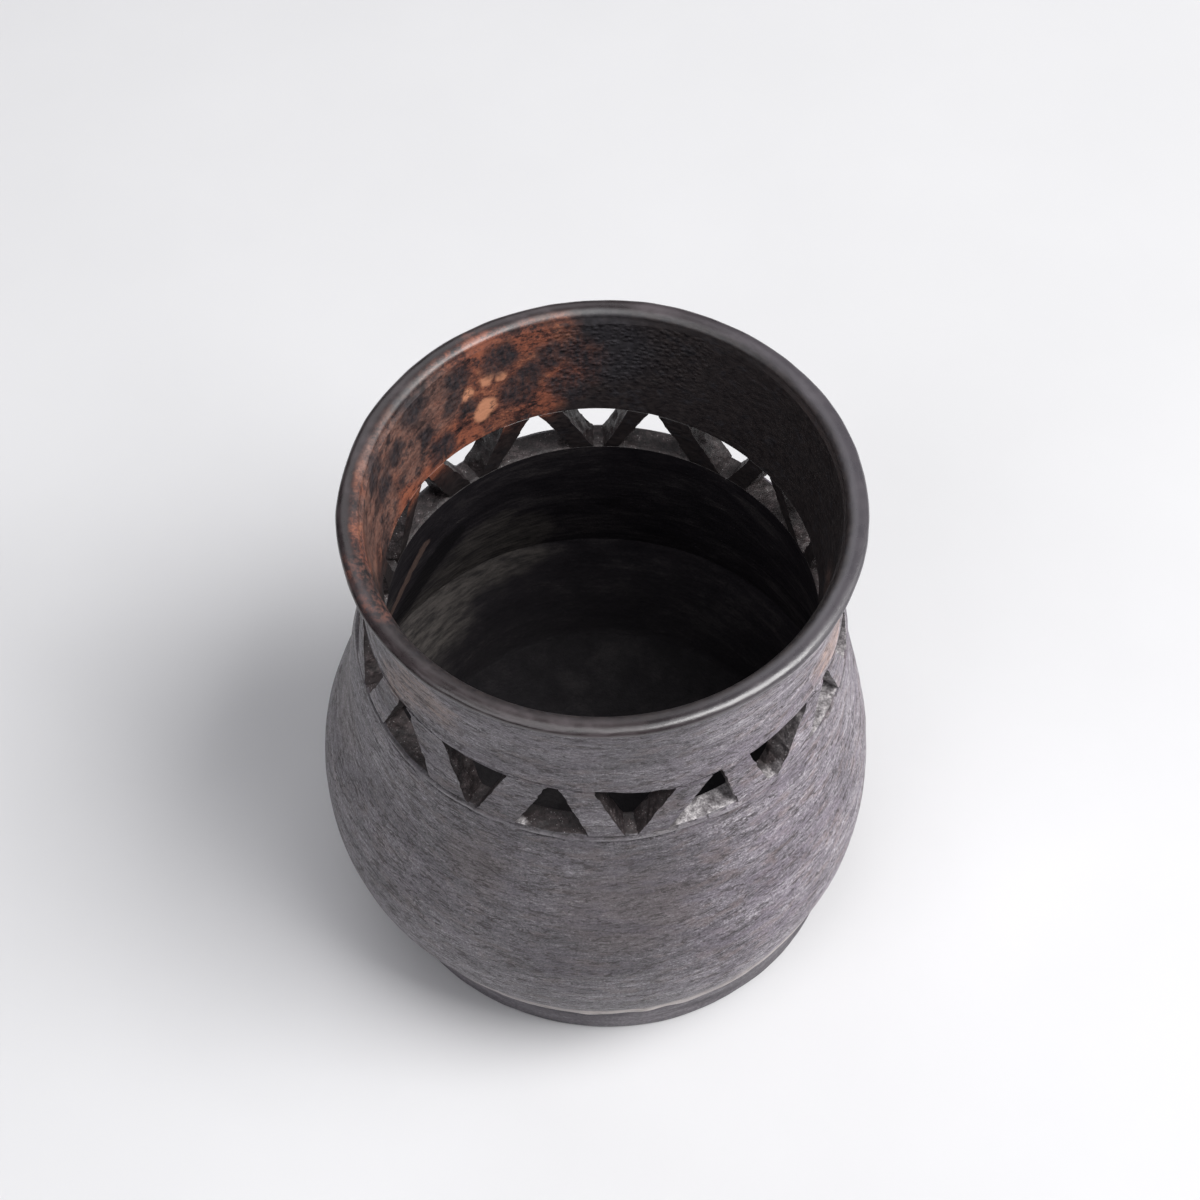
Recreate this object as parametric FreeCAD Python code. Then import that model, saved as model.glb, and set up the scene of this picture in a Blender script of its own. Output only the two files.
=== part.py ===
"""Barro negro pot with a cut-out lattice band: hand-built black clay vessel, in millimetres.

The pot stands on the plane z = 0 with its axis on +Z and its front facing -Y. It is built up from the
clay members that a potter joins and cuts: a foot ring, a floor disc, a pulled belly, a coiled shoulder
above it, a ring of leaning struts left between triangular windows, a flared neck collar and a rounded
rim lip. Every member is one solid in its own STEP file, and neighbours meet face to face.
"""

import math
import os

import FreeCAD
import Part

Vector = FreeCAD.Vector

# Driving dimensions.
HEIGHT = 122.3  # foot to top of lip
RIM_RADIUS = 49.7  # outermost edge of the lip
BELLY_RADIUS = 56.7
BELLY_Z = 36.0  # the widest line, where the shoulder coils start
FOOT_HEIGHT = 12.0
FOOT_RADIUS = 49.3
BAND_BOTTOM_Z = 82.2  # the windows lie between these two heights
BAND_TOP_Z = 95.7
LIP_Z = 119.8  # the lip is laid on the collar here

# Outer wall radii where the curve is steered.
BODY_FOOT_RADIUS = 50.4
SHOULDER_RADIUS = 52.9
BAND_BOTTOM_RADIUS = 48.4
NECK_RADIUS = 46.5
NECK_Z = 99.0
COLLAR_TOP_RADIUS = 48.9

# Wall thickness.
BELLY_WALL = 5.0
BAND_BOTTOM_WALL = 5.2
NECK_WALL = 4.1
COLLAR_TOP_WALL = 3.9

# Foot and floor.
FLOOR_RADIUS = 42.0
FLOOR_BOTTOM_Z = 5.0
FLOOR_TOP_Z = 12.6
FOOT_CHAMFER = 1.0  # round the bottom edge
FOOT_WAIST = 0.4  # the foot is this much slimmer where it meets the body

# Lip section.
LIP_INNER_RADIUS = RIM_RADIUS - 3.9
LIP_EDGE_Z = LIP_Z + 1.4  # height of the outermost edge
LIP_CROWN_RADIUS = RIM_RADIUS - 2.0

# Windows: triangles cut by eye, standing on their point and on their base in turn.
# Each is the azimuth of its base's middle, the width of its base and the azimuth of its point, in degrees.
# Azimuths run anticlockwise seen from above, from the pot's front (-Y).
WINDOWS = (
    (6.6, 18.7, 5.6),
    (22.4, 17.4, 26.3),
    (45.0, 19.6, 41.6),
    (62.0, 17.0, 64.0),
    (80.0, 17.5, 80.0),
    (97.0, 16.5, 97.5),
    (113.0, 15.5, 112.5),
    (128.0, 15.5, 128.5),
    (145.0, 18.0, 144.0),
    (164.5, 18.0, 165.0),
    (181.0, 16.0, 180.0),
    (198.0, 19.0, 198.0),
    (217.0, 18.5, 216.0),
    (234.5, 17.5, 235.0),
    (252.5, 18.0, 252.0),
    (270.0, 18.0, 269.0),
    (288.0, 18.0, 288.0),
    (307.2, 18.4, 306.0),
    (328.0, 17.1, 328.3),
    (347.6, 17.0, 347.7),
)
FIRST_POINTS_DOWN = True
POINT_WIDTH = 2.5  # blunt point of a window, in degrees
CUTTER_INNER_RADIUS = 30.0
CUTTER_OUTER_RADIUS = 70.0

PARTS_DIR = "parts"


def spline(points):
    """An edge of one smooth curve through (radius, z) points."""
    curve = Part.BSplineCurve()
    curve.interpolate([Vector(r, 0, z) for r, z in points])
    return curve.toShape()


def line(a, b):
    """A straight edge between two (radius, z) points."""
    return Part.makeLine(Vector(a[0], 0, a[1]), Vector(b[0], 0, b[1]))


def polyline(points):
    """Straight edges that join (radius, z) points in turn."""
    return [line(a, b) for a, b in zip(points, points[1:])]


def turned(edges):
    """The solid turned on +Z from a closed section."""
    face = Part.Face(Part.Wire(edges))
    return face.revolve(Vector(0, 0, 0), Vector(0, 0, 1), 360)


def slab(z_low, z_high):
    """A disc wider than the pot, between two heights."""
    return Part.makeCylinder(2 * BELLY_RADIUS, z_high - z_low, Vector(0, 0, z_low))


def wall():
    """The whole wall from the foot to the lip, in one piece, before it is cut."""
    outer = [
        (BODY_FOOT_RADIUS, FOOT_HEIGHT),
        (BELLY_RADIUS, BELLY_Z),
        (SHOULDER_RADIUS, (BELLY_Z + BAND_BOTTOM_Z) / 2),
        (BAND_BOTTOM_RADIUS, BAND_BOTTOM_Z),
        (NECK_RADIUS, NECK_Z),
        (COLLAR_TOP_RADIUS, LIP_Z),
    ]
    inner = [
        (FLOOR_RADIUS, FLOOR_TOP_Z),
        (BELLY_RADIUS - BELLY_WALL, BELLY_Z),
        (SHOULDER_RADIUS - BELLY_WALL, (BELLY_Z + BAND_BOTTOM_Z) / 2),
        (BAND_BOTTOM_RADIUS - BAND_BOTTOM_WALL, BAND_BOTTOM_Z),
        (NECK_RADIUS - NECK_WALL, NECK_Z),
        (COLLAR_TOP_RADIUS - COLLAR_TOP_WALL, LIP_Z),
    ]
    section = [
        spline(outer),
        line(outer[-1], inner[-1]),
        spline(inner),
        line(inner[0], (FLOOR_RADIUS, FOOT_HEIGHT)),
        line((FLOOR_RADIUS, FOOT_HEIGHT), outer[0]),
    ]
    return turned(section)


def foot_ring():
    """The turned ring that the pot stands on. Its bore takes the floor disc."""
    outer_bottom = FOOT_RADIUS - FOOT_CHAMFER
    points = [
        (FLOOR_RADIUS, 0),
        (outer_bottom, 0),
        (FOOT_RADIUS, FOOT_CHAMFER),
        (FOOT_RADIUS, FOOT_HEIGHT / 2),
        (FOOT_RADIUS - FOOT_WAIST, FOOT_HEIGHT),
        (FLOOR_RADIUS, FOOT_HEIGHT),
        (FLOOR_RADIUS, 0),
    ]
    return turned(polyline(points))


def floor_disc():
    """The slab of clay that closes the bottom, raised clear of the table."""
    return Part.makeCylinder(FLOOR_RADIUS, FLOOR_TOP_Z - FLOOR_BOTTOM_Z, Vector(0, 0, FLOOR_BOTTOM_Z))


def rim_lip():
    """The lip: a rounded bead that overhangs the collar a little."""
    collar_inner = COLLAR_TOP_RADIUS - COLLAR_TOP_WALL
    crown = [
        (RIM_RADIUS, LIP_EDGE_Z),
        (LIP_CROWN_RADIUS, HEIGHT),
        (LIP_INNER_RADIUS, LIP_EDGE_Z),
    ]
    arc = Part.Arc(*[Vector(r, 0, z) for r, z in crown]).toShape()
    section = [
        line((collar_inner, LIP_Z), (COLLAR_TOP_RADIUS, LIP_Z)),
        line((COLLAR_TOP_RADIUS, LIP_Z), crown[0]),
        arc,
        line(crown[-1], (collar_inner, LIP_Z)),
    ]
    return turned(section)


def window_cutter(index):
    """A triangular prism along the window's own radius, its base at one edge of the band."""
    base_middle, base_width, point = WINDOWS[index]
    azimuth = (base_middle + point) / 2
    points_down = FIRST_POINTS_DOWN == (index % 2 == 0)
    base_z, point_z = (BAND_TOP_Z, BAND_BOTTOM_Z) if points_down else (BAND_BOTTOM_Z, BAND_TOP_Z)
    radius = NECK_RADIUS if points_down else BAND_BOTTOM_RADIUS

    def corner(corner_azimuth, z):
        across = radius * math.sin(math.radians(corner_azimuth - azimuth))
        return Vector(across, -CUTTER_INNER_RADIUS, z)

    loop = [
        corner(base_middle - base_width / 2, base_z),
        corner(base_middle + base_width / 2, base_z),
        corner(point + POINT_WIDTH / 2, point_z),
        corner(point - POINT_WIDTH / 2, point_z),
    ]
    face = Part.Face(Part.makePolygon(loop + loop[:1]))
    prism = face.extrude(Vector(0, CUTTER_INNER_RADIUS - CUTTER_OUTER_RADIUS, 0))
    prism.rotate(Vector(0, 0, 0), Vector(0, 0, 1), azimuth)
    return prism


def azimuth_of(solid):
    """Degrees anticlockwise from the pot's front to a solid's centre, 0 to 360."""
    centre = solid.CenterOfMass
    return math.degrees(math.atan2(centre.x, -centre.y)) % 360


def struts(whole_wall):
    """The leaning struts that stay between the windows, in order from the first window."""
    band = whole_wall.common(slab(BAND_BOTTOM_Z, BAND_TOP_Z))
    left = band.cut([window_cutter(i) for i in range(len(WINDOWS))])
    first_azimuth = WINDOWS[0][0]
    return sorted(left.Solids, key=lambda s: (azimuth_of(s) - first_azimuth) % 360)


def build():
    """Every member of the pot by its node name."""
    whole = wall()
    nodes = {
        "foot_ring": foot_ring(),
        "floor_disc": floor_disc(),
        "belly_wall": whole.common(slab(FOOT_HEIGHT, BELLY_Z)),
        "shoulder_wall": whole.common(slab(BELLY_Z, BAND_BOTTOM_Z)),
        "neck_collar": whole.common(slab(BAND_TOP_Z, LIP_Z)),
        "rim_lip": rim_lip(),
    }
    for number, strut in enumerate(struts(whole), start=1):
        nodes[f"lattice_strut_{number:02d}"] = strut
    return nodes


os.makedirs(PARTS_DIR, exist_ok=True)
for name, shape in build().items():
    solid = shape.Solids[0]
    if len(shape.Solids) != 1 or not solid.isValid():
        raise RuntimeError(f"{name} is not one valid solid")
    solid.exportStep(os.path.join(PARTS_DIR, f"{name}.step"))
    print(f"{name}: {solid.Volume:.0f} mm3")
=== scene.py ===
"""Looks of an openwork barro negro pot, built around its packed clay members.

Every visible piece follows one shared wall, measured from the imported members, so neighbours meet
without a step. Lengths are in metres, azimuths run from the pot's front (-Y) towards +X.
"""

import itertools
import math

import bpy
import numpy as np
from mathutils import Matrix, Vector
from mathutils.bvhtree import BVHTree


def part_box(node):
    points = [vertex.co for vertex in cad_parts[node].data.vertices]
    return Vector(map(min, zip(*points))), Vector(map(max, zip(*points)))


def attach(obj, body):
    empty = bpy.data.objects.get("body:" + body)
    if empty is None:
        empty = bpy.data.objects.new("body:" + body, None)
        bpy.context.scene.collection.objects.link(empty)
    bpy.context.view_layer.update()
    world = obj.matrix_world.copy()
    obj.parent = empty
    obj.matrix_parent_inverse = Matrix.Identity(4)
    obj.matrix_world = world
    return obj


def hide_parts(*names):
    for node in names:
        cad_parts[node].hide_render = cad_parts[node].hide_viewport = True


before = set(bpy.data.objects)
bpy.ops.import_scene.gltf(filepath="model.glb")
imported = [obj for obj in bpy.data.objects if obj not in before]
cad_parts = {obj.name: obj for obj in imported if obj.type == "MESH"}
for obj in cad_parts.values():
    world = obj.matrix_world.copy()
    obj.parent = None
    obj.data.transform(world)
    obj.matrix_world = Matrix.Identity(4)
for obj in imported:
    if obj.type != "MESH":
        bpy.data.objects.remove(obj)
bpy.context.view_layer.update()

MM = 0.001
DEGREE = math.radians(1)

# Heights where the members meet.
BELLY_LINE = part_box("belly_wall")[1].z
FOOT_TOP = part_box("foot_ring")[1].z
BAND_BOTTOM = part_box("shoulder_wall")[1].z
BAND_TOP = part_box("neck_collar")[0].z
LIP_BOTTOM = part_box("neck_collar")[1].z
POT_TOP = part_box("rim_lip")[1].z
FLOOR_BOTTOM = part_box("floor_disc")[0].z
FLOOR_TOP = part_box("floor_disc")[1].z
FOOT_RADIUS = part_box("foot_ring")[1].x
FLOOR_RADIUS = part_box("floor_disc")[1].x
LIP_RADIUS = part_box("rim_lip")[1].x
STRUTS = sorted(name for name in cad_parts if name.startswith("lattice_strut"))

COLUMNS = 600  # mesh columns round the pot
SHARP_ANGLE = 50 * DEGREE  # faces that meet more sharply than this keep a hard edge
PROFILE_DEGREE = 8
PROFILE_SAMPLES = 24

# How the hand-made pot strays from a true round.
BELLY_LEAN = -2.1 * MM  # sideways, at the belly
RIM_LEAN = 0.3 * MM  # sideways, at the lip
BAND_BOTTOM_TILT = -0.010  # rise towards +X, as a slope
BAND_TOP_TILT = -0.045
BAND_TOP_DIP = -1.4 * MM  # where the knife ran low, right of the front
DIP_PLACE = 14.0 * MM  # along X
DIP_WIDTH = 7.0 * MM
DIP_FADE = 8.0 * MM  # how far above the band the dip dies out
SHOULDER_DENT = 1.8 * MM  # how far the left of the shoulder is pressed in
DENT_HEIGHT = 60.0 * MM
DENT_REACH = 10.0 * MM
DENT_SIDE = (15 * MM, 48 * MM)  # distances left of the axis where the dent starts and is full

# Finger and rib marks.
SWELL = 0.30 * MM  # broad unevenness of the wall
RIDGE = 0.12 * MM  # throwing ridges
INNER_RIDGE = 0.22 * MM
GUIDE_DEPTH = 0.45 * MM  # incised guide lines
GUIDE_WIDTH = 0.20 * MM
GUIDE_BURR = 0.22 * MM  # clay pushed up beside the lower guide line
BURR_OFFSET = 0.75 * MM  # from the line up to the burr
BURR_WIDTH = 0.40 * MM
FLOOR_DISH = 2.5 * MM  # how far the floor sinks to its middle
LIP_CREASE = 0.4 * MM  # step back of the collar under the lip
CUT_ROUGHNESS = 0.26 * MM  # torn clay on the knife-cut faces
BITE_DEPTH = 1.5 * MM  # chips bitten out of those faces
CORNER_SPREAD = 0.15 * MM  # clay left in the corners of the windows
CORNER_REACH = 0.9 * MM  # how far along a strut that clay thins out

# Mesh steps of one strut.
FACE_STEPS = 18
DEPTH_STEPS = 12
RISE_STEPS = 46
STRUT_ROOT = 0.9 * MM  # how far a strut's hidden ends reach into its neighbours
ROOT_SINK = 1.2 * MM  # how far those ends lie under the wall's faces


# ---------------------------------------------------------------- the shared wall

def wall_profile(nodes, inside):
    """Radius of the wall at a height, as a polynomial, measured on the members' own surfaces."""
    samples = []
    for node in nodes:
        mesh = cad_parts[node].data
        tree = BVHTree.FromPolygons([v.co for v in mesh.vertices], [p.vertices for p in mesh.polygons])
        low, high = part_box(node)
        margin = 0.01 * (high.z - low.z)
        for z in np.linspace(low.z + margin, high.z - margin, PROFILE_SAMPLES):
            start = Vector((0, 0, z)) if inside else Vector((0, -1, z))
            direction = Vector((0, -1, 0)) if inside else Vector((0, 1, 0))
            samples.append((z, -tree.ray_cast(start, direction)[0].y))
    heights, radii = np.array(samples).T
    return np.polynomial.Polynomial.fit(heights, radii, PROFILE_DEGREE)


WALL_NODES = ("belly_wall", "shoulder_wall", "neck_collar")
outer_radius = wall_profile(WALL_NODES, inside=False)
inner_radius = wall_profile(WALL_NODES, inside=True)


def smooth_noise(points, size, seed):
    """Value noise from -1 to 1 with bumps about size across, size being a length or three."""
    scaled = points / size
    base = np.floor(scaled).astype(np.int64)
    t = scaled - base
    t = t * t * (3 - 2 * t)
    total = np.zeros(points.shape[:-1])
    for corner in itertools.product((0, 1), repeat=3):
        cell = base + corner
        mixed = cell[..., 0] * 374761393 + cell[..., 1] * 668265263 + cell[..., 2] * 1440662683
        mixed = (mixed + seed * 1274126177) & 0xFFFFFFFF
        mixed = ((mixed ^ (mixed >> 13)) * 1103515245) & 0xFFFFFFFF
        mixed = ((mixed ^ (mixed >> 16)) * 2654435761) & 0xFFFFFFFF
        value = (mixed >> 8) / float(1 << 24) * 2 - 1
        weight = np.prod(np.where(corner, t, 1 - t), axis=-1)
        total += weight * value
    return total


def round_points(azimuth, radius, z):
    """Points of a true round, as an array of x, y, z."""
    azimuth, radius, z = np.broadcast_arrays(azimuth, radius, z)
    return np.stack([radius * np.sin(azimuth), -radius * np.cos(azimuth), z], axis=-1)


def smooth_step(value, low, high):
    t = np.clip((value - low) / (high - low), 0, 1)
    return t * t * (3 - 2 * t)


def bell(value, middle, width):
    """1 at the middle, falling smoothly to almost 0 two widths away."""
    return np.exp(-(((value - middle) / width) ** 2))


def handmade(points):
    """Points of a true round, moved to where the hand-made pot has them."""
    x, y, z = points[..., 0], points[..., 1], points[..., 2]
    lean = BELLY_LEAN * smooth_step(z, 0, BELLY_LINE) * (1 - smooth_step(z, BELLY_LINE, BAND_TOP))
    lean = lean + RIM_LEAN * smooth_step(z, BAND_TOP, LIP_BOTTOM)
    low_tilt = BAND_BOTTOM_TILT * smooth_step(z, BELLY_LINE, BAND_BOTTOM)
    high_tilt = BAND_TOP_TILT * (1 - smooth_step(z, BAND_TOP, LIP_BOTTOM))
    share = np.clip((z - BAND_BOTTOM) / (BAND_TOP - BAND_BOTTOM), 0, 1)
    tilt = low_tilt * (1 - share) + high_tilt * share
    dip = BAND_TOP_DIP * bell(x, DIP_PLACE, DIP_WIDTH) * smooth_step(-y, 0, LIP_RADIUS / 2)
    dip = dip * share * (1 - smooth_step(z, BAND_TOP, BAND_TOP + DIP_FADE))
    dent = SHOULDER_DENT * bell(z, DENT_HEIGHT, DENT_REACH) * smooth_step(-x, *DENT_SIDE)
    return np.stack([x + lean + dent, y, z + tilt * x + dip], axis=-1)


def one_guide_line(points, height, seed, strength):
    """How hard one line is pressed at each point, and how far above the line each point is."""
    wander = 0.25 * MM * smooth_noise(points, 14 * MM, seed)
    wander += 0.12 * MM * smooth_noise(points, 2.5 * MM, seed + 1)
    press = np.clip(0.65 + 0.9 * smooth_noise(points, 3.5 * MM, seed + 2), 0, 1)
    above = points[..., 2] - height - wander
    return strength * press, above


# Height, noise seed and strength of each incised line.
LOWER_LINE = (BAND_BOTTOM - 1.55 * MM, 6, 1.0)
GUIDE_LINES = (
    LOWER_LINE,
    (BAND_BOTTOM - 0.10 * MM, 4, 0.8),
    (BAND_TOP + 0.45 * MM, 8, 0.8),
)


def guide_marks(points):
    """Share of full depth of the incised lines, from 0 to 1, broken and uneven."""
    marks = np.zeros(points.shape[:-1])
    for height, seed, strength in GUIDE_LINES:
        press, above = one_guide_line(points, height, seed, strength)
        marks = np.maximum(marks, press * bell(above, 0, GUIDE_WIDTH))
    return marks


def guide_burrs(points):
    """Share of full height of the clay pushed up just above the lower line, from 0 to 1."""
    press, above = one_guide_line(points, *LOWER_LINE)
    return press * bell(above, BURR_OFFSET, BURR_WIDTH)


def outer_relief(azimuth, z):
    """How far the outside stands proud of the true round."""
    points = round_points(azimuth, outer_radius(z), z)
    z = points[..., 2]
    relief = SWELL * smooth_noise(points, 24 * MM, 1)
    relief += RIDGE * smooth_noise(points, (30 * MM, 30 * MM, 1.6 * MM), 2)
    relief += 0.5 * RIDGE * smooth_noise(points, (8 * MM, 8 * MM, 0.9 * MM), 3)
    relief += GUIDE_BURR * guide_burrs(points) - GUIDE_DEPTH * guide_marks(points)
    relief -= LIP_CREASE * smooth_step(z, LIP_BOTTOM - 1.3 * MM, LIP_BOTTOM)
    return relief


def inner_relief(azimuth, z):
    """How far the inside stands out from the true round, away from the axis."""
    points = round_points(azimuth, inner_radius(z), z)
    relief = SWELL * smooth_noise(points, 20 * MM, 11)
    relief += INNER_RIDGE * smooth_noise(points, (40 * MM, 40 * MM, 4 * MM), 12)
    return relief * smooth_step(points[..., 2], FLOOR_TOP, FLOOR_TOP + 5 * MM)


def outer_point(azimuth, z):
    return round_points(azimuth, outer_radius(z) + outer_relief(azimuth, z), z)


def inner_point(azimuth, z):
    return round_points(azimuth, inner_radius(z) + inner_relief(azimuth, z), z)


# ---------------------------------------------------------------- meshes

def new_piece(name, true_round, faces, face_materials, materials):
    """A mesh object that stands for the clay member of that name, from its points on the true round."""
    mesh = bpy.data.meshes.new(name)
    mesh.from_pydata(handmade(true_round).reshape(-1, 3).tolist(), [], faces)
    for attribute, shares in (("guide_marks", guide_marks), ("guide_burrs", guide_burrs)):
        mesh.attributes.new(attribute, "FLOAT", "POINT").data.foreach_set("value", shares(true_round).ravel())
    for material in materials:
        mesh.materials.append(material)
    mesh.polygons.foreach_set("material_index", face_materials)
    mesh.polygons.foreach_set("use_smooth", [True] * len(mesh.polygons))
    mesh.set_sharp_from_angle(angle=SHARP_ANGLE)
    piece = bpy.data.objects.new(name, mesh)
    bpy.context.scene.collection.objects.link(piece)
    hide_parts(name)
    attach(piece, "root")
    return piece


def turned_piece(name, section, materials):
    """A closed piece from a section's rings. Each ring joins the next one, and the last the first."""
    grid = np.stack(section.rings)
    ring_count, columns = grid.shape[:2]
    faces = []
    face_materials = []
    for ring in range(ring_count):
        after = (ring + 1) % ring_count
        for column in range(columns):
            beside = (column + 1) % columns
            faces.append((
                ring * columns + column,
                ring * columns + beside,
                after * columns + beside,
                after * columns + column,
            ))
        face_materials += [section.kinds[ring]] * columns
    return new_piece(name, grid, faces, face_materials, materials)


def heights(low, high, step):
    return np.linspace(low, high, max(2, int(round((high - low) / step)) + 1))


AROUND = np.linspace(0, 2 * math.pi, COLUMNS, endpoint=False)


class Section:
    """The rings of a turned piece, in order round its cut section."""

    def __init__(self):
        self.rings = []
        self.kinds = []

    def add(self, ring, kind):
        """One ring of points. kind is the material index of the faces from it to the next ring."""
        self.rings.append(ring)
        self.kinds.append(kind)

    def wall(self, point_at, levels, kind):
        for z in levels:
            self.add(point_at(AROUND, z), kind)

    def across(self, start, end, count, kind, roughness=0.0, seed=0):
        """Rings across a level face, between two rings already shaped."""
        for share in np.linspace(0, 1, count + 2)[1:-1]:
            ring = start * (1 - share) + end * share
            if roughness:
                fade = min(1, 6 * share, 6 * (1 - share))
                torn = smooth_noise(ring, 1.7 * MM, seed) + 0.5 * smooth_noise(ring, 0.7 * MM, seed + 1)
                ring = ring + np.array([0, 0, 1]) * (roughness * fade * torn)[:, None]
            self.add(ring, kind)


# ---------------------------------------------------------------- material nodes

class Graph:
    """A material's node tree, written as plain calls. Inputs are sockets, numbers or colours."""

    def __init__(self, name):
        self.material = bpy.data.materials.new(name)
        self.material.use_nodes = True
        self.tree = self.material.node_tree
        self.tree.nodes.clear()
        self.position = self.node("ShaderNodeTexCoord").outputs["Object"]
        axes = self.node("ShaderNodeSeparateXYZ", Vector=self.position)
        self.x, self.y, self.height = axes.outputs

    def node(self, kind, _inputs=(), _settings=(), **named):
        made = self.tree.nodes.new(kind)
        for key, value in dict(_settings).items():
            setattr(made, key, value)
        for key, value in list(enumerate(_inputs)) + list(named.items()):
            socket = made.inputs[key]
            if isinstance(value, bpy.types.NodeSocket):
                self.tree.links.new(value, socket)
            else:
                socket.default_value = value
        return made

    def math(self, operation, *values):
        return self.node("ShaderNodeMath", values, {"operation": operation}).outputs[0]

    def add(self, a, b):
        return self.math("ADD", a, b)

    def times(self, a, b):
        return self.math("MULTIPLY", a, b)

    def highest(self, *values):
        total = values[0]
        for value in values[1:]:
            total = self.math("MAXIMUM", total, value)
        return total

    def vectors(self, operation, *values, **named):
        """The outputs of a vector operation: Vector, and Value for a length or a dot product."""
        return self.node("ShaderNodeVectorMath", values, {"operation": operation}, **named).outputs

    def stretched(self, along, up):
        """Coordinates whose features are along wide and up tall, in millimetres."""
        scale = (1 / (along * MM), 1 / (along * MM), 1 / (up * MM))
        return self.vectors("MULTIPLY", self.position, scale)["Vector"]

    def noise(self, along, up, detail=3.0, roughness=0.55, distortion=0.0, colour=False):
        node = self.node(
            "ShaderNodeTexNoise",
            Vector=self.stretched(along, up),
            Scale=1.0,
            Detail=detail,
            Roughness=roughness,
            Distortion=distortion,
        )
        return node.outputs["Color" if colour else "Fac"]

    def scratches(self, along, up, width, distortion=0.4):
        """1 along thin lines that run mostly round the pot, 0 between them."""
        field = self.noise(along, up, 2.0, 0.6, distortion)
        return self.remap(self.math("ABSOLUTE", self.add(field, -0.5)), width, 0.25 * width)

    def cells(self, along, up):
        """Distance to the middle of the nearest cell."""
        node = self.node("ShaderNodeTexVoronoi", Vector=self.stretched(along, up), Scale=1.0)
        return node.outputs["Distance"]

    def carried(self, attribute):
        """A value that the mesh carries on its points."""
        return self.node("ShaderNodeAttribute", (), {"attribute_name": attribute}).outputs["Fac"]

    def stroke(self, start, end, width, position):
        """1 inside a finger stroke between two (azimuth, height) places on the inside wall."""
        first, last = [
            Vector(round_points(azimuth * DEGREE, float(inner_radius(height * MM)), height * MM))
            for azimuth, height in (start, end)
        ]
        run = last - first
        offset = self.vectors("SUBTRACT", position, tuple(first))["Vector"]
        along = self.vectors("DOT_PRODUCT", offset, tuple(run / run.length_squared))["Value"]
        along = self.math("MINIMUM", self.math("MAXIMUM", along, 0.0), 1.0)
        nearest = self.vectors("SCALE", tuple(run), Scale=along)["Vector"]
        gap = self.vectors("DISTANCE", offset, nearest)["Value"]
        return self.remap(gap, 0.58 * width * MM, 0.42 * width * MM)

    def spots(self, places, position, inside=True):
        """1 inside any of the spots, each an (azimuth, height, size), and 0 outside them all."""
        return self.highest(*[self.spot(*place, position, inside) for place in places])

    def blend(self, *parts):
        """A weighted sum of (value, weight) pairs."""
        total = 0.0
        for value, weight in parts:
            total = self.add(total, self.times(value, weight))
        return total

    def remap(self, value, low, high, to_low=0.0, to_high=1.0):
        """A smooth ramp between two values, flat beyond them."""
        limits = (value, low, high, to_low, to_high)
        return self.node("ShaderNodeMapRange", limits, {"interpolation_type": "SMOOTHSTEP"}).outputs[0]

    def mix(self, factor, a, b):
        node = self.node("ShaderNodeMix", (), {"data_type": "RGBA"})
        for socket, value in ((node.inputs[0], factor), (node.inputs[6], a), (node.inputs[7], b)):
            if isinstance(value, bpy.types.NodeSocket):
                self.tree.links.new(value, socket)
            elif socket.type == "RGBA":
                socket.default_value = (*value, 1.0)
            else:
                socket.default_value = value
        return node.outputs[2]

    def scaled(self, colour, factor):
        """A colour made factor times as bright."""
        return self.vectors("SCALE", colour, Scale=factor)["Vector"]

    def tinted(self, value, *stops):
        """Colours along a value, from (place, colour) stops."""
        node = self.node("ShaderNodeValToRGB", (value,))
        ramp = node.color_ramp
        while len(ramp.elements) < len(stops):
            ramp.elements.new(0.5)
        for element, (place, colour) in zip(ramp.elements, stops):
            element.position = place
            element.color = (*colour, 1.0)
        return node.outputs[0]

    def spot(self, azimuth, height, size, wobbly_position, inside=True):
        """1 inside a round spot on the wall and 0 outside it. Degrees, then millimetres."""
        radius_at = inner_radius if inside else outer_radius
        centre = round_points(azimuth * DEGREE, float(radius_at(height * MM)), height * MM)
        gap = self.vectors("DISTANCE", wobbly_position, tuple(centre))["Value"]
        return self.remap(gap, 1.15 * size * MM, 0.55 * size * MM)

    def wobbly(self, amount, along, up):
        """The position, shifted unevenly by up to about amount, in millimetres."""
        noise = self.noise(along, up, colour=True)
        shift = self.vectors("SUBTRACT", noise, (0.5, 0.5, 0.5))["Vector"]
        scaled = self.vectors("SCALE", shift, Scale=2 * amount * MM)["Vector"]
        return self.vectors("ADD", self.position, scaled)["Vector"]

    def finish(self, colour, roughness, bump_height, bump_depth, specular=0.5):
        """The finished material. bump_depth is in millimetres."""
        bump = self.node("ShaderNodeBump", Strength=1.0, Distance=bump_depth * MM, Height=bump_height)
        shader = self.node("ShaderNodeBsdfPrincipled", Normal=bump.outputs[0])
        for key, value in (("Base Color", colour), ("Roughness", roughness)):
            self.tree.links.new(value, shader.inputs[key])
        shader.inputs["Specular IOR Level"].default_value = specular
        self.node("ShaderNodeOutputMaterial", (shader.outputs[0],))
        return self.material


# Places on the outside, each an azimuth in degrees, then a height and a size in millimetres.
TAN_PATCHES = ((-46, 108, 9), (-57, 102, 7), (67, 101, 8))
BROWN_PATCHES = ((4, 60, 16), (-86, 62, 14), (-30, 66, 9))
CHIPS = (
    (-80, 50, 1.6),
    (65, 61, 1.7),
    (64, 57, 1.3),
    (5, 74, 1.1),
    (-22, 74, 1.3),
    (-48, 70, 1.2),
    (-35, 104, 1.0),
)
# Cut faces shown pale: partly clean clay, partly painted light on the faces the key lamp lights.
CLEAN_AND_LIT_CUTS = ((24, 81.5, 9), (39.5, 84, 4.2), (-21, 82, 2.4), (61, 83, 12), (76, 85, 8))

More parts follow.
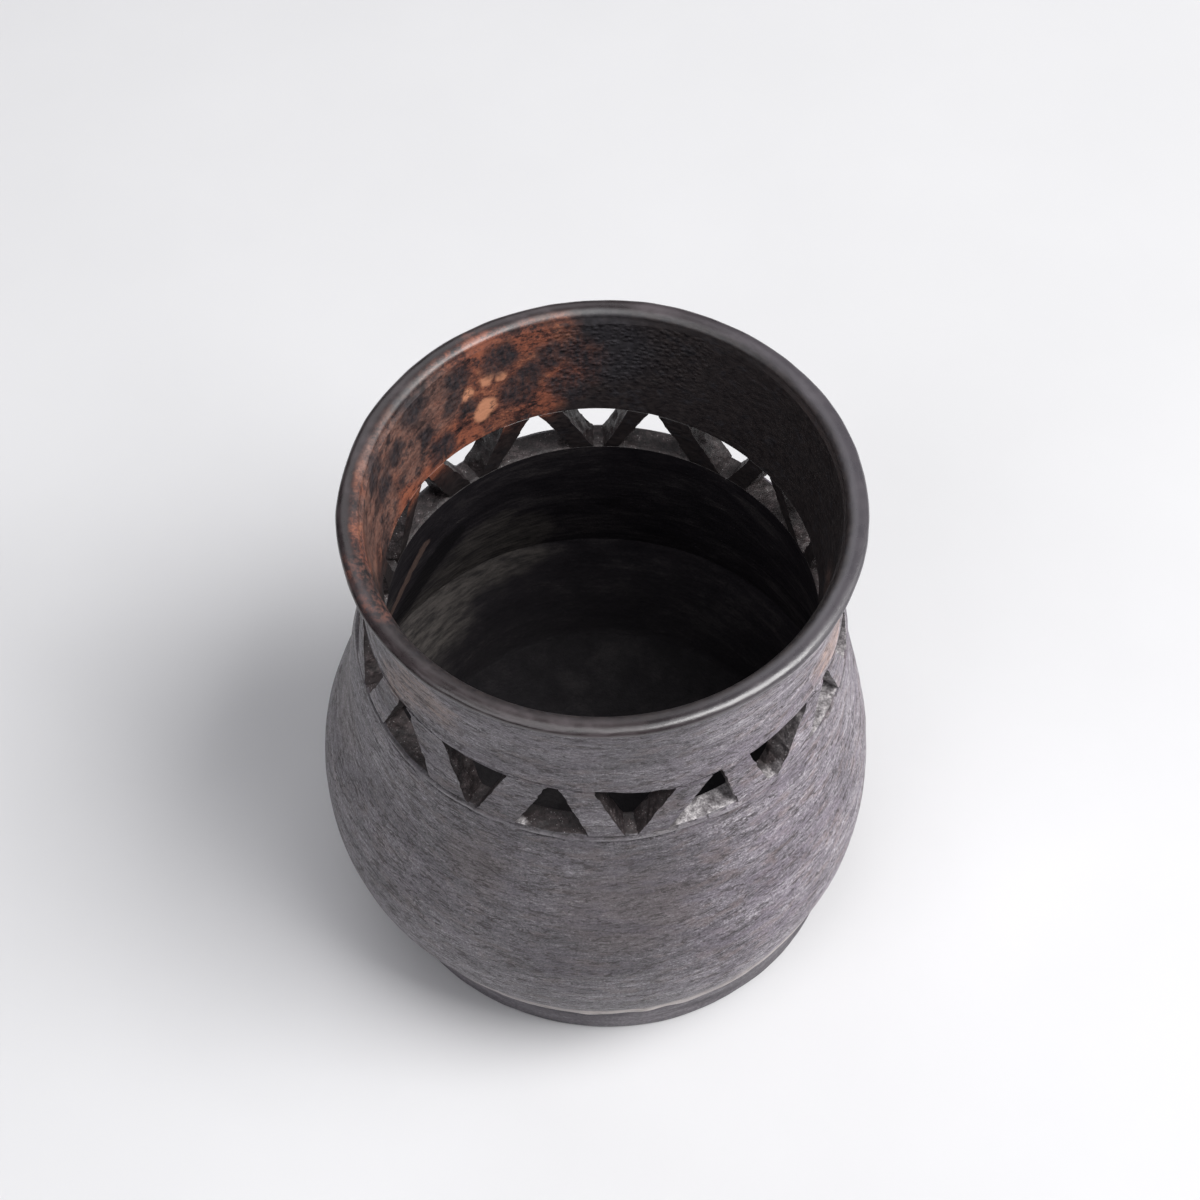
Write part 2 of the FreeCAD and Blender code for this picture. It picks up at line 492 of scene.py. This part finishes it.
# Places on the inside, given the same way.
RUST_PATCHES = (
    (-150, 109, 20),
    (-132, 104, 17),
    (-116, 106, 17),
    (-100, 112, 15),
    (-84, 117, 8),
    (-168, 111, 12),
)
EMBERS = (
    (-150, 119, 5),
    (-163, 118.5, 4),
    (-172, 106, 4),
    (-164, 101, 5),
    (-141, 100, 5),
    (-128, 99, 4),
    (-117, 99, 4),
)
PALE_SPOTS = ((-149, 104.5, 2.6), (-147, 103, 2.2), (-150, 111.5, 1.8), (-154, 111, 1.6), (-144, 110.5, 1.7))
ASHY_PATCHES = (
    (-132, 114, 10),
    (-119, 114, 9),
    (-106, 116, 10),
    (-122, 106, 7),
    (-92, 112, 11),
    (-104, 105, 9),
    (80, 103, 6),
)
SMOKE_SPOTS = (
    (-154, 115.7, 5.0),
    (-158.5, 105.6, 5.2),
    (-162, 109, 3.6),
    (-168, 113, 4.4),
    (-142, 116, 4.2),
    (-139, 111, 3.0),
    (-143, 107, 2.6),
    (-182, 113, 11),
    (-133, 101, 4.4),
    (-105, 118, 4.2),
    (-172, 103, 5.0),
    (-126, 118, 4.5),
    (-108, 111, 4.0),
    (-129, 108, 3.0),
    (-117, 113, 3.2),
)
PEBBLED = ((180, 112, 14), (164, 113, 12), (-172, 104, 6))
# Lighter patches on the left inside wall: partly finger wipes, partly painted light where the key lamp falls
# inside the bowl.
WIPED_AND_LIT_PATCHES = ((-133, 30, 12), (-146, 40, 13), (-158, 42, 11), (-148, 52, 8), (-110, 56, 6))
LIP_WEAR = ((-73, 121.5, 5), (-63, 121.5, 4.5), (-149, 122, 4))

# Finger strokes on the inside, each from one (azimuth, height) to another, with its width in millimetres.
THICK_SMEAR = ((-138, 60), (-124, 43), 8.0)
FINGER_WIPE = ((-128, 69), (-117, 50), 3.6)


def burnished_clay():
    """Outside: graphite-grey burnish over black clay, with marks that run round the pot."""
    g = Graph("burnished_clay")
    clouds = g.noise(30, 20, 3.0)
    bands = g.noise(26, 4.0, 4.0, 0.6)
    streaks = g.noise(5.0, 1.0, 4.0, 0.7, 0.4)
    fibres = g.noise(1.7, 0.38, 3.0, 0.7, 0.4)
    grain = g.noise(0.46, 0.40, 2.0, 0.8)
    tone = g.blend(
        (clouds, 0.20),
        (bands, 0.24),
        (streaks, 0.30),
        (fibres, 0.36),
        (grain, 0.46),
        (1.0, -0.28),
    )
    grey = g.tinted(
        tone,
        (0.37, (0.036, 0.029, 0.037)),
        (0.46, (0.106, 0.091, 0.109)),
        (0.55, (0.205, 0.181, 0.208)),
        (0.65, (0.46, 0.430, 0.462)),
    )
    brown = g.mix(0.5, grey, (0.190, 0.130, 0.120))
    violet = g.mix(0.45, grey, (0.135, 0.105, 0.145))
    loose = g.wobbly(6.0, 12, 5)
    browned = g.highest(
        g.remap(g.noise(6, 2.2, 3.0, 0.6), 0.50, 0.64, 0.0, 0.7),
        g.times(g.spots(BROWN_PATCHES, loose, inside=False), 0.6),
    )
    colour = g.mix(browned, grey, brown)
    colour = g.mix(g.remap(g.noise(12, 5, 3.0, 0.6), 0.48, 0.62, 0.0, 0.70), colour, violet)
    tan = g.times(g.spots(TAN_PATCHES, loose, inside=False), g.remap(streaks, 0.40, 0.62, 0.15, 0.7))
    colour = g.mix(tan, colour, (0.33, 0.20, 0.145))
    scratches = g.times(g.scratches(5.0, 1.2, 0.045), g.remap(g.noise(4.0, 2.2, 2.0), 0.48, 0.58))
    nicks = g.remap(g.noise(1.7, 0.45, 2.0, 0.55, 0.8), 0.60, 0.67)
    chips = g.spots(CHIPS, g.wobbly(1.2, 1.5, 0.9), inside=False)
    dents = g.highest(scratches, g.times(nicks, 0.8), g.times(chips, 0.7))
    # Painted light and shade: the colour is scaled darker on the left and lighter on the right, where the key
    # lamp falls, and a little lighter above the windows.
    painted_right_light = g.remap(g.x, 4 * MM, 43 * MM, 0.60, 1.78)
    painted_collar_light = g.times(g.remap(g.height, BAND_BOTTOM, BAND_TOP), 0.06)
    colour = g.scaled(colour, g.add(painted_right_light, painted_collar_light))
    colour = g.mix(g.times(dents, 0.78), colour, (0.030, 0.020, 0.022))
    colour = g.mix(g.times(g.carried("guide_burrs"), 0.6), colour, (0.33, 0.315, 0.33))
    # Painted shade: the incised lines are darkened nearly to black, standing in for the shade inside the
    # grooves.
    colour = g.mix(g.times(g.carried("guide_marks"), 0.92), colour, (0.014, 0.012, 0.014))
    edge = g.add(g.height, g.times(g.add(streaks, -0.5), 5.0 * MM))
    paler = g.times(g.remap(edge, FOOT_TOP + 12 * MM, FOOT_TOP + 2 * MM), g.remap(streaks, 0.42, 0.62))
    colour = g.mix(g.times(paler, 0.55), colour, (0.46, 0.43, 0.44))
    # The edge over the foot is worn to bare cream clay, painted fainter towards the left.
    low_edge = g.remap(edge, FOOT_TOP + 5.0 * MM, FOOT_TOP + 3.2 * MM)
    worn = g.times(low_edge, g.remap(bands, 0.35, 0.6, 0.55, 1.0))
    colour = g.mix(g.times(worn, g.remap(g.x, -25 * MM, 0.0, 0.45, 0.9)), colour, (0.74, 0.66, 0.62))
    relief = g.blend((streaks, 0.5), (fibres, 0.45), (grain, 0.40), (dents, -0.8))
    roughness = g.add(g.remap(tone, 0.38, 0.62, 0.54, 0.38), g.times(dents, 0.2))
    return g.finish(colour, roughness, relief, 0.26, specular=0.9)


def smoke_and_rust(g):
    """Colour and roughness inside the neck: rusty clay left of the back, clouded with black smoke."""
    loose = g.wobbly(6.0, 8, 8)
    tight = g.wobbly(2.4, 3.4, 3.4)
    fine = g.noise(1.6, 0.9, 4.0, 0.7)
    weave = g.noise(0.7, 2.6, 3.0, 0.7)
    dark = g.tinted(fine, (0.35, (0.014, 0.011, 0.013)), (0.65, (0.042, 0.033, 0.033)))
    grain = g.noise(0.6, 0.5, 2.0, 0.8)
    rust_tone = g.blend((g.noise(6.0, 4.0, 5.0, 0.62), 0.50), (fine, 0.35), (grain, 0.30), (1.0, -0.07))
    rust = g.tinted(
        rust_tone,
        (0.38, (0.024, 0.016, 0.017)),
        (0.46, (0.100, 0.044, 0.037)),
        (0.53, (0.25, 0.090, 0.058)),
        (0.63, (0.48, 0.185, 0.100)),
    )
    above_band = g.remap(g.height, BAND_TOP - 3 * MM, BAND_TOP + 1 * MM, 0.1, 1.0)
    colour = g.mix(g.times(g.spots(RUST_PATCHES, loose), above_band), dark, rust)
    embers = g.times(g.spots(EMBERS, tight), g.remap(rust_tone, 0.42, 0.58))
    colour = g.mix(g.times(embers, 0.75), colour, (0.40, 0.125, 0.070))
    ashy = g.times(g.spots(ASHY_PATCHES, loose), g.remap(fine, 0.40, 0.60, 0.45, 0.75))
    ash = g.tinted(rust_tone, (0.40, (0.060, 0.044, 0.042)), (0.58, (0.24, 0.150, 0.128)))
    colour = g.mix(ashy, colour, ash)
    pale = g.spots(PALE_SPOTS, g.wobbly(1.0, 2.0, 2.0))
    colour = g.mix(g.times(pale, 0.9), colour, (0.80, 0.36, 0.21))
    small_clouds = g.remap(g.noise(4.0, 2.8, 5.0, 0.7), 0.55, 0.62, 0.0, 0.85)
    clouds = g.highest(g.spots(SMOKE_SPOTS, tight), small_clouds)
    smoke = g.times(clouds, g.remap(weave, 0.30, 0.62, 1.0, 0.72))
    colour = g.mix(smoke, colour, g.tinted(fine, (0.35, (0.014, 0.013, 0.016)), (0.7, (0.056, 0.053, 0.062))))
    return colour, fine, rust_tone


def smoked_clay():
    """Inside of the neck and of the lattice."""
    g = Graph("smoked_clay")
    colour, fine, rust_tone = smoke_and_rust(g)
    strokes = g.noise(7, 0.7, 3.0, 0.6)
    pebbles = g.times(g.remap(g.cells(1.3, 1.1), 0.6, 0.1), g.spots(PEBBLED, g.wobbly(3.0, 6, 6)))
    relief = g.blend((fine, 0.5), (strokes, 0.4), (pebbles, 0.7))
    roughness = g.remap(rust_tone, 0.35, 0.65, 0.38, 0.56)
    return g.finish(colour, roughness, relief, 0.20, specular=0.8)


def sooty_clay():
    """Inside of the bowl: near-black soot, with painted shade darkening it towards the bottom, and finger
    wipes on the left that also carry painted light.
    """
    g = Graph("sooty_clay")
    clouds = g.noise(16, 7, 4.0, 0.6, 0.8)
    streaks = g.noise(5, 1.1, 4.0, 0.7)
    grain = g.noise(0.8, 0.5, 3.0, 0.7)
    tone = g.blend((clouds, 0.5), (streaks, 0.3), (grain, 0.2))
    soot = g.tinted(
        tone,
        (0.40, (0.014, 0.012, 0.016)),
        (0.52, (0.030, 0.026, 0.031)),
        (0.66, (0.085, 0.076, 0.078)),
    )
    bare_and_lit = g.tinted(streaks, (0.36, (0.050, 0.046, 0.043)), (0.62, (0.190, 0.170, 0.155)))
    # Painted shade: the colour darkens towards the floor, where the bowl lies in shade.
    painted_bottom_shade = g.remap(g.height, FLOOR_TOP, 50 * MM, 0.25, 1.0)
    colour = g.mix(painted_bottom_shade, (0.006, 0.005, 0.006), soot)
    # Partly real wipes and partly painted light: the left wall is lightened where the key lamp reaches it.
    colour = g.mix(g.times(g.spots(WIPED_AND_LIT_PATCHES, g.wobbly(8.0, 14, 8)), 0.5), colour, bare_and_lit)
    near = g.wobbly(1.2, 3.0, 3.0)
    thick = g.stroke(*THICK_SMEAR, near)
    colour = g.mix(g.times(thick, 0.9), colour, (0.010, 0.009, 0.011))
    finger = g.stroke(*FINGER_WIPE, near)
    colour = g.mix(g.times(finger, 0.85), colour, g.mix(grain, (0.13, 0.085, 0.072), (0.22, 0.150, 0.130)))
    relief = g.blend((streaks, 0.5), (grain, 0.5))
    roughness = g.remap(streaks, 0.35, 0.7, 0.72, 0.5)
    return g.finish(colour, roughness, relief, 0.3, specular=0.22)


def cut_clay():
    """Knife-cut faces of the windows: torn, matt, with grit that catches the light."""
    g = Graph("cut_clay")
    coarse = g.noise(1.6, 1.6, 4.0, 0.65)
    fine = g.noise(0.45, 0.45, 3.0, 0.7)
    grit = g.remap(g.cells(0.55, 0.55), 0.22, 0.08)
    tone = g.add(g.times(coarse, 0.6), g.times(fine, 0.4))
    sooty = g.tinted(
        tone,
        (0.38, (0.012, 0.009, 0.010)),
        (0.52, (0.034, 0.025, 0.026)),
        (0.66, (0.11, 0.086, 0.088)),
    )
    clean_and_lit_colour = g.tinted(
        tone,
        (0.38, (0.09, 0.078, 0.084)),
        (0.50, (0.30, 0.28, 0.29)),
        (0.62, (0.74, 0.70, 0.71)),
    )
    # Painted light: the listed cut faces, the ones the key lamp lights, are pale clean clay; the rest stay
    # sooty dark.
    bare_and_lit = g.spots(CLEAN_AND_LIT_CUTS, g.wobbly(2.5, 4, 4), inside=False)
    colour = g.mix(bare_and_lit, sooty, clean_and_lit_colour)
    colour = g.mix(g.times(grit, g.remap(coarse, 0.47, 0.62)), colour, (0.66, 0.64, 0.64))
    relief = g.add(g.times(coarse, 0.6), g.times(fine, 0.4))
    relief = g.add(relief, g.times(grit, 0.25))
    roughness = g.remap(fine, 0.3, 0.7, 0.40, 0.75)
    return g.finish(colour, roughness, relief, 0.42, specular=0.7)


def lip_clay():
    """The lip: polished by hand, dark brown-black, worn to rust where the inside is."""
    g = Graph("lip_clay")
    inside_colour, fine, rust_tone = smoke_and_rust(g)
    bands = g.noise(22, 2.0, 4.0, 0.6)
    streaks = g.noise(4, 0.5, 3.0, 0.6)
    tone = g.add(g.times(bands, 0.6), g.times(streaks, 0.4))
    dark = g.tinted(
        tone,
        (0.38, (0.014, 0.009, 0.010)),
        (0.53, (0.036, 0.026, 0.028)),
        (0.66, (0.085, 0.068, 0.074)),
    )
    reach = g.math("SQRT", g.add(g.times(g.x, g.x), g.times(g.y, g.y)))
    ragged = g.add(reach, g.times(g.add(bands, -0.5), 3 * MM))
    inward = g.remap(ragged, LIP_RADIUS - 2.2 * MM, LIP_RADIUS - 3.6 * MM)
    # Painted sheen: the lip is made lighter and cooler towards the right, where the key lamp falls.
    dark = g.mix(g.remap(g.x, 0.0, 0.9 * LIP_RADIUS, 0.0, 0.55), dark, (0.125, 0.118, 0.135))
    colour = g.mix(inward, dark, inside_colour)
    wear = g.times(g.spots(LIP_WEAR, g.wobbly(2.5, 5, 5)), g.remap(fine, 0.42, 0.62))
    colour = g.mix(g.times(wear, 0.6), colour, (0.22, 0.090, 0.066))
    relief = g.add(g.times(streaks, 0.5), g.times(fine, 0.3))
    roughness = g.add(g.remap(tone, 0.35, 0.65, 0.24, 0.36), g.times(inward, 0.14))
    return g.finish(colour, roughness, relief, 0.08, specular=1.0)


def foot_clay():
    """The foot and the underside: smooth dark charcoal, hardly burnished."""
    g = Graph("foot_clay")
    bands = g.noise(20, 3, 4.0, 0.6)
    grain = g.noise(0.7, 0.5, 3.0, 0.65)
    tone = g.add(g.times(bands, 0.6), g.times(grain, 0.4))
    colour = g.tinted(
        tone,
        (0.38, (0.085, 0.078, 0.088)),
        (0.53, (0.160, 0.147, 0.163)),
        (0.66, (0.27, 0.25, 0.27)),
    )
    relief = g.add(g.times(bands, 0.5), g.times(grain, 0.5))
    roughness = g.remap(bands, 0.35, 0.7, 0.7, 0.55)
    return g.finish(colour, roughness, relief, 0.15)


def backdrop_paper():
    g = Graph("backdrop_paper")
    cloth = g.noise(60, 60, 3.0)
    colour = g.tinted(cloth, (0.3, (0.81, 0.81, 0.825)), (0.7, (0.83, 0.83, 0.845)))
    roughness = g.remap(cloth, 0.3, 0.7, 0.85, 0.95)
    return g.finish(colour, roughness, cloth, 0.2, specular=0.2)


# ---------------------------------------------------------------- the members

def foot_ring(materials):
    """The turned foot, its lower edge rounded unevenly and its side leaning in towards the top."""
    section = Section()
    side_radius = FOOT_RADIUS - 0.2 * MM
    side_slope = 0.03
    point = round_points(AROUND, FOOT_RADIUS, 0.0)
    uneven = 0.35 * MM * smooth_noise(point, 9 * MM, 21) + 0.15 * MM * smooth_noise(point, 2.5 * MM, 22)
    chamfer = 1.3 * MM + uneven
    for turn in np.linspace(0, 90, 7) * DEGREE:
        radius = side_radius - chamfer * (1 - math.sin(turn))
        section.add(round_points(AROUND, radius, chamfer * (1 - math.cos(turn))), 0)
    for z in heights(2.6 * MM, FOOT_TOP, 0.6 * MM):
        ring = round_points(AROUND, FOOT_RADIUS, z)
        waver = 0.25 * MM * smooth_noise(ring, (14 * MM, 14 * MM, 3 * MM), 23)
        section.add(round_points(AROUND, side_radius - side_slope * z + waver, z), 0)
    for z in (FOOT_TOP, 0.0):
        section.add(round_points(AROUND, FLOOR_RADIUS, z), 0)
    return turned_piece("foot_ring", section, materials)


def floor_disc(materials):
    """The floor of the bowl, with the finger spiral of its making, and its plain underside."""
    section = Section()
    inner_edge = 1.0 * MM
    for radius in heights(inner_edge, FLOOR_RADIUS, 1.5 * MM):
        section.add(round_points(AROUND, radius, FLOOR_BOTTOM), 1)
    for radius in heights(FLOOR_RADIUS, inner_edge, 0.8 * MM):
        spiral = 0.35 * MM * np.sin(radius / (5 * MM) * 2 * math.pi + AROUND)
        calm = smooth_step(radius, 0, 6 * MM) * (1 - smooth_step(radius, FLOOR_RADIUS - 3 * MM, FLOOR_RADIUS))
        dish = FLOOR_DISH * (1 - (radius / FLOOR_RADIUS) ** 5)
        section.add(round_points(AROUND, radius, FLOOR_TOP - dish + spiral * calm), 0)
    return turned_piece("floor_disc", section, materials)


def belly_wall(materials):
    """The lower wall. A worn flange stands proud where it meets the foot."""
    section = Section()
    flange = 0.8 * MM
    flange_height = 4.4 * MM
    for share in np.linspace(0, 1, 12):
        ring = outer_point(AROUND, FOOT_TOP + share * flange_height)
        uneven = 1 + 0.4 * smooth_noise(ring, 4 * MM, 25)
        proud = flange * uneven * math.sin((50 + 130 * share) * DEGREE)
        section.add(ring + round_points(AROUND, proud, 0.0), 0)
    section.wall(outer_point, heights(FOOT_TOP + flange_height + 0.4 * MM, BELLY_LINE, 0.45 * MM), 0)
    section.wall(inner_point, heights(BELLY_LINE, FLOOR_TOP + 1.0 * MM, 1.0 * MM), 1)
    section.add(round_points(AROUND, FLOOR_RADIUS - 0.2 * MM, FLOOR_TOP - 0.1 * MM), 1)
    section.add(round_points(AROUND, FLOOR_RADIUS, FOOT_TOP), 1)
    return turned_piece("belly_wall", section, materials)


def shoulder_wall(materials):
    """The upper wall, with finer rings where the guide lines are cut."""
    section = Section()
    edge = 0.25 * MM
    fine_from = BAND_BOTTOM - 2.2 * MM
    section.wall(outer_point, heights(BELLY_LINE, fine_from, 0.45 * MM), 0)
    section.wall(outer_point, heights(fine_from + 0.12 * MM, BAND_BOTTOM - edge, 0.12 * MM), 0)
    outer_edge = outer_point(AROUND, BAND_BOTTOM)
    inner_edge = inner_point(AROUND, BAND_BOTTOM)
    section.across(outer_edge, inner_edge, 14, 2, CUT_ROUGHNESS, 31)
    section.wall(inner_point, heights(BAND_BOTTOM - edge, BELLY_LINE, 1.2 * MM), 1)
    return turned_piece("shoulder_wall", section, materials)


def neck_collar(materials):
    """The flared neck, from the top of the windows to the lip."""
    section = Section()
    edge = 0.2 * MM
    fine_to = BAND_TOP + 1.4 * MM
    section.wall(outer_point, heights(BAND_TOP + edge, fine_to, 0.12 * MM), 0)
    section.wall(outer_point, heights(fine_to + 0.4 * MM, LIP_BOTTOM, 0.4 * MM), 0)
    section.wall(inner_point, heights(LIP_BOTTOM, BAND_TOP + edge, 0.9 * MM), 1)
    section.across(inner_point(AROUND, BAND_TOP), outer_point(AROUND, BAND_TOP), 12, 2, CUT_ROUGHNESS, 41)
    return turned_piece("neck_collar", section, materials)


def rim_lip(materials):
    """A flat rounded bead. Its inner side runs down into the collar, its outer side overhangs."""
    section = Section()
    half_width = 1.95 * MM
    inner_half_width = 2.25 * MM
    half_height = 1.3 * MM
    middle_radius = LIP_RADIUS - half_width
    middle_z = POT_TOP - half_height
    collar_outside = outer_radius(LIP_BOTTOM) + outer_relief(AROUND, LIP_BOTTOM)
    collar_inside = inner_radius(LIP_BOTTOM) + inner_relief(AROUND, LIP_BOTTOM)
    section.add(round_points(AROUND, collar_outside - 0.1 * MM, LIP_BOTTOM), 0)
    for turn in np.linspace(-70, 180, 42) * DEGREE:
        here = round_points(AROUND, middle_radius, middle_z + 3 * MM * math.sin(turn))
        squeeze = 0.15 * MM * smooth_noise(here, 11 * MM, 51) + 0.07 * MM * smooth_noise(here, 3 * MM, 52)
        calm = smooth_step(turn, -70 * DEGREE, 0) * (1 - smooth_step(turn, 120 * DEGREE, 180 * DEGREE))
        reach = half_width if turn < 90 * DEGREE else inner_half_width
        radius = middle_radius + (reach + squeeze * calm) * math.cos(turn)
        crown = 0.12 * MM * (smooth_noise(here, 16 * MM, 53) - 1)
        z = middle_z + (half_height + crown * calm) * math.sin(turn)
        section.add(round_points(AROUND, radius, z), 0)
    for share in (0.3, 0.65, 1.0):
        radius = (middle_radius - inner_half_width) * (1 - share) + collar_inside * share
        section.add(round_points(AROUND, radius, middle_z + (LIP_BOTTOM - middle_z) * share), 0)
    return turned_piece("rim_lip", section, materials)


def strut_corners(node):
    """Azimuths of a strut's edges, as {(outside, top): (left, right)}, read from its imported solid."""
    points = np.array([v.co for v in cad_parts[node].data.vertices])
    azimuth = np.arctan2(points[:, 0], -points[:, 1])
    middle = math.atan2(points[:, 0].mean(), -points[:, 1].mean())
    azimuth = (azimuth - middle + math.pi) % (2 * math.pi) - math.pi + middle
    reach = np.hypot(points[:, 0], points[:, 1])
    outside = reach > (outer_radius(points[:, 2]) + inner_radius(points[:, 2])) / 2
    corners = {}
    for face in (True, False):
        for top in (True, False):
            level = BAND_TOP if top else BAND_BOTTOM
            chosen = azimuth[(outside == face) & (abs(points[:, 2] - level) < 0.1 * MM)]
            corners[face, top] = (chosen.min(), chosen.max())
    return corners


def strut_edge(corners, outside, side, rise, spread, radius):
    """Azimuth of one edge of a strut at a share of its rise."""
    low = corners[outside, False][side]
    high = corners[outside, True][side]
    sign = 1 if side else -1
    return low * (1 - rise) + high * rise + sign * spread / radius


def lattice_strut(node, materials):
    """One strut: its outside flush with the wall, its sides torn by the knife."""
    corners = strut_corners(node)
    band = BAND_TOP - BAND_BOTTOM
    rows = []
    levels = [(-STRUT_ROOT, ROOT_SINK)] + [(d, 0.0) for d in heights(0, band, band / RISE_STEPS)]
    levels += [(band + STRUT_ROOT, ROOT_SINK)]
    for depth_in_band, sunk in levels:
        z = BAND_BOTTOM + depth_in_band
        rise = min(max(depth_in_band / band, 0), 1)
        nearest_end = min(abs(depth_in_band), abs(band - depth_in_band))
        spread = CORNER_SPREAD * math.exp(-nearest_end / CORNER_REACH) - sunk * 0.4
        out_r = float(outer_radius(min(max(z, BAND_BOTTOM), BAND_TOP)))
        in_r = float(inner_radius(min(max(z, BAND_BOTTOM), BAND_TOP)))
        edges = [
            [strut_edge(corners, outside, side, rise, spread, out_r) for side in (0, 1)]
            for outside in (True, False)
        ]
        share_u = np.linspace(0, 1, FACE_STEPS + 1)
        share_w = np.linspace(0, 1, DEPTH_STEPS + 1)[1:-1]
        outer_az = edges[0][0] + (edges[0][1] - edges[0][0]) * share_u
        inner_az = edges[1][1] + (edges[1][0] - edges[1][1]) * share_u
        front = round_points(outer_az, out_r + outer_relief(outer_az, np.full_like(outer_az, z)) - sunk, z)
        back = round_points(inner_az, in_r + inner_relief(inner_az, np.full_like(inner_az, z)) + sunk, z)
        right = front[-1] + (back[0] - front[-1]) * share_w[:, None]
        left = back[-1] + (front[0] - back[-1]) * share_w[:, None]
        rows.append(np.concatenate([front, right, back, left]))
    return strut_mesh(node, tear_cut_faces(np.stack(rows)), materials)


def tear_cut_faces(grid):
    """The strut's points with its two cut sides roughened and its long edges chipped."""
    count = FACE_STEPS + 1
    side = DEPTH_STEPS - 1
    amount = np.zeros(grid.shape[1])
    amount[count:count + side] = 1
    amount[2 * count + side:] = 1
    edge_columns = (0, count - 1, count + side, 2 * count + side - 1)
    amount[list(edge_columns)] = 0.8
    middle = grid.mean(axis=1, keepdims=True)
    tangent = np.stack([-grid[..., 1], grid[..., 0], np.zeros(grid.shape[:2])], axis=-1)
    tangent /= np.linalg.norm(tangent, axis=-1, keepdims=True)
    outward = np.sign(np.sum((grid - middle) * tangent, axis=-1))
    torn = smooth_noise(grid, 1.9 * MM, 61) + 0.55 * smooth_noise(grid, 0.8 * MM, 62)
    bites = -np.maximum(smooth_noise(grid, 2.2 * MM, 63) - 0.30, 0)
    push = CUT_ROUGHNESS * (torn - 0.6) + BITE_DEPTH * bites
    return grid + tangent * (outward * amount * push)[..., None]


def strut_mesh(node, grid, materials):
    """A strut's closed mesh from its rows of points, bottom row first."""
    rows, columns = grid.shape[:2]
    count = FACE_STEPS + 1
    side = DEPTH_STEPS - 1
    kinds = [0] * (count - 1) + [2] * (side + 1) + [1] * (count - 1) + [2] * (side + 1)
    faces = []
    face_materials = []
    for row in range(rows - 1):
        for column in range(columns):
            beside = (column + 1) % columns
            faces.append((
                row * columns + column,
                row * columns + beside,
                (row + 1) * columns + beside,
                (row + 1) * columns + column,
            ))
            face_materials.append(kinds[column])
    last = (rows - 1) * columns
    faces.append(tuple(reversed(range(columns))))
    faces.append(tuple(range(last, last + columns)))
    face_materials += [2, 2]
    return new_piece(node, grid, faces, face_materials, materials)


# ---------------------------------------------------------------- stage, light and camera

def backdrop(material):
    """A pale level surface, far wider than the view."""
    half = 3.0
    mesh = bpy.data.meshes.new("backdrop")
    corners = [(-half, -half, 0), (half, -half, 0), (half, half, 0), (-half, half, 0)]
    mesh.from_pydata(corners, [], [(0, 1, 2, 3)])
    mesh.materials.append(material)
    floor = bpy.data.objects.new("backdrop", mesh)
    bpy.context.scene.collection.objects.link(floor)


LAMP_DISTANCE = 1.5
LAMP_AIM = (0, 0, 60 * MM)  # the middle of the pot


def soft_light(name, azimuth, elevation, size, power, colour):
    """A square lamp in a direction given in degrees, turned to the pot."""
    data = bpy.data.lights.new(name, "AREA")
    data.shape = "SQUARE"
    data.size = size
    data.energy = power
    data.color = colour
    lamp = bpy.data.objects.new(name, data)
    level = LAMP_DISTANCE * math.cos(elevation * DEGREE)
    height = LAMP_DISTANCE * math.sin(elevation * DEGREE)
    lamp.location = round_points(azimuth * DEGREE, level, height)
    lamp.rotation_euler = (Vector(LAMP_AIM) - lamp.location).to_track_quat("-Z", "Y").to_euler()
    bpy.context.scene.collection.objects.link(lamp)


def studio_light():
    soft_light("key", 70, 59, 0.82, 18.6, (1.0, 0.995, 0.985))
    soft_light("side", 92, 28, 0.9, 3.8, (1.0, 0.995, 0.985))
    soft_light("top", 0, 80, 0.9, 4.3, (0.98, 0.98, 1.0))
    soft_light("back", 200, 45, 0.9, 2.1, (0.96, 0.97, 1.0))
    soft_light("fill", -42, 45, 0.9, 4.0, (0.97, 0.97, 1.0))
    world = bpy.data.worlds.new("studio")
    world.use_nodes = True
    sky = world.node_tree.nodes["Background"]
    sky.inputs["Color"].default_value = (0.94, 0.94, 1.0, 1.0)
    sky.inputs["Strength"].default_value = 0.07
    bpy.context.scene.world = world
    bpy.context.scene.view_settings.view_transform = "Standard"


def camera():
    """Looks down on the pot from its front."""
    distance = 662.3 * MM
    elevation = 60.90 * DEGREE
    pitch = 56.61 * DEGREE
    yaw = -0.10 * DEGREE
    roll = -1.24 * DEGREE
    place = Vector((0, -distance * math.cos(elevation), distance * math.sin(elevation)))
    look = Vector((math.sin(yaw) * math.cos(pitch), math.cos(yaw) * math.cos(pitch), -math.sin(pitch)))
    level = look.cross(Vector((0, 0, 1))).normalized()
    up = level.cross(look)
    right = math.cos(roll) * level + math.sin(roll) * up
    top = math.cos(roll) * up - math.sin(roll) * level
    data = bpy.data.cameras.new("camera")
    data.sensor_width = 36
    data.lens = 90
    eye = bpy.data.objects.new("camera", data)
    eye.matrix_world = Matrix((
        (right.x, top.x, -look.x, place.x),
        (right.y, top.y, -look.y, place.y),
        (right.z, top.z, -look.z, place.z),
        (0, 0, 0, 1),
    ))
    bpy.context.scene.collection.objects.link(eye)
    bpy.context.scene.camera = eye


def build():
    burnished = burnished_clay()
    smoked = smoked_clay()
    sooty = sooty_clay()
    cut = cut_clay()
    foot = foot_clay()
    foot_ring([foot])
    floor_disc([sooty, foot])
    belly_wall([burnished, sooty])
    shoulder_wall([burnished, sooty, cut])
    for node in STRUTS:
        lattice_strut(node, [burnished, smoked, cut])
    neck_collar([burnished, smoked, cut])
    rim_lip([lip_clay()])
    backdrop(backdrop_paper())
    studio_light()
    camera()


build()
